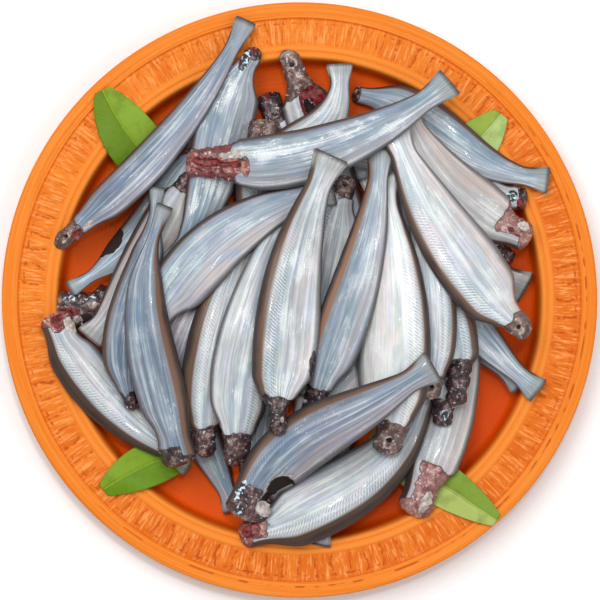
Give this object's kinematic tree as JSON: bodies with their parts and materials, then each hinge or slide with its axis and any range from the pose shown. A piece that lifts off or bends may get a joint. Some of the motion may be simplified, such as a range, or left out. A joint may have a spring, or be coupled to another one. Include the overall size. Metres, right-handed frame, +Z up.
{
  "type": "plate of small river fish",
  "caption": "Round moulded plate with a fluted rim, heaped with small cleaned headless fish lying across each other over leaves tucked under the heap.",
  "frame": {"origin": "on the table under the middle of the plate", "axes": "+Z up; +X to the right and +Y to the top of the plate as seen from above with the fish that has the open red neck lying across the top"},
  "size_m": [0.26, 0.26, 0.0519],
  "materials": {
    "plate": "moulded, satin orange, lighter on the rim",
    "fish": "wet silver-blue skin with a brown back",
    "leaf": "fresh green leaf"
  },
  "bodies": {
    "root": {"plate": "plate", "leaf_top_left": "leaf", "leaf_top_right": "leaf", "leaf_bottom_left": "leaf", "leaf_bottom_right": "leaf", "fish_under_bottom": "fish", "fish_under_lower_left_a": "fish", "fish_under_lower_left_b": "fish", "fish_sliver_left": "fish", "fish_white_middle": "fish", "fish_tail_right": "fish", "fish_head_right_low": "fish", "fish_head_right_high": "fish", "fish_tail_lower_right": "fish", "fish_open_head_left": "fish", "fish_slivers_top": "fish", "fish_head_top_middle": "fish", "fish_round_head_top": "fish", "fish_oval_head_top": "fish", "fish_dark_head_right": "fish", "fish_violet_left": "fish", "fish_left_long": "fish", "fish_tail_left": "fish", "fish_lower_left_outer": "fish", "fish_upper_left_second": "fish", "fish_top_hooked": "fish", "fish_right_tail_up": "fish", "fish_lower_right_pale": "fish", "fish_right_tail_down": "fish", "fish_inner_right": "fish", "fish_stub_right": "fish", "fish_right_upper": "fish", "fish_lower_left_brown": "fish", "fish_lower_left_silver": "fish", "fish_centre_herringbone": "fish", "fish_left_inner": "fish", "fish_widest_right": "fish", "fish_left_centre": "fish", "fish_centre_right": "fish", "fish_upper_left_long": "fish", "fish_left_top": "fish", "fish_right_top": "fish", "fish_bottom_dark": "fish", "fish_bottom_top": "fish", "fish_top_red_head": "fish", "fish_centre_top": "fish"}
  },
  "joints": []
}
